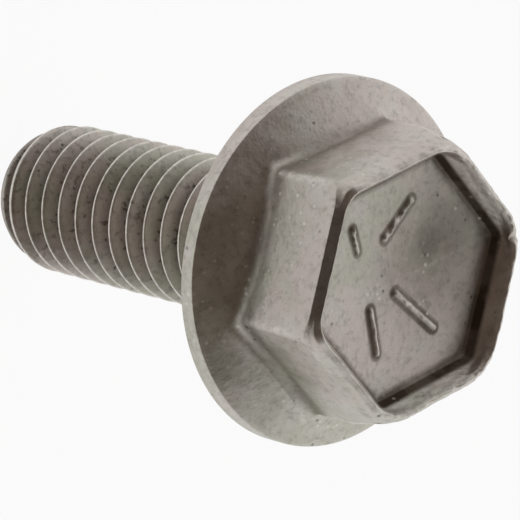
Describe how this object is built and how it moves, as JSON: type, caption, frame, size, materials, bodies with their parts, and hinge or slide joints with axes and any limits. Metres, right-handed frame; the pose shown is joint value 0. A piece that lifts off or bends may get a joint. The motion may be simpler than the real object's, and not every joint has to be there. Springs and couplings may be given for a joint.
{
  "type": "brake rotor bolt",
  "caption": "Flanged hexagon bolt with an indented top and a coarse thread along its shank, for clamping a brake rotor to its hub.",
  "frame": {"origin": "centre of the flat bearing face under the flange", "axes": "+Z along the bolt's axis towards the top of the head, -Z towards the tip; two opposite corners of the hexagon lie on X"},
  "size_m": [0.0142, 0.0142, 0.0216],
  "materials": {
    "zinc_coated_steel": "dull silver-grey zinc-like coating, slightly mottled"
  },
  "bodies": {
    "root": {"bolt": "zinc_coated_steel"}
  },
  "joints": []
}
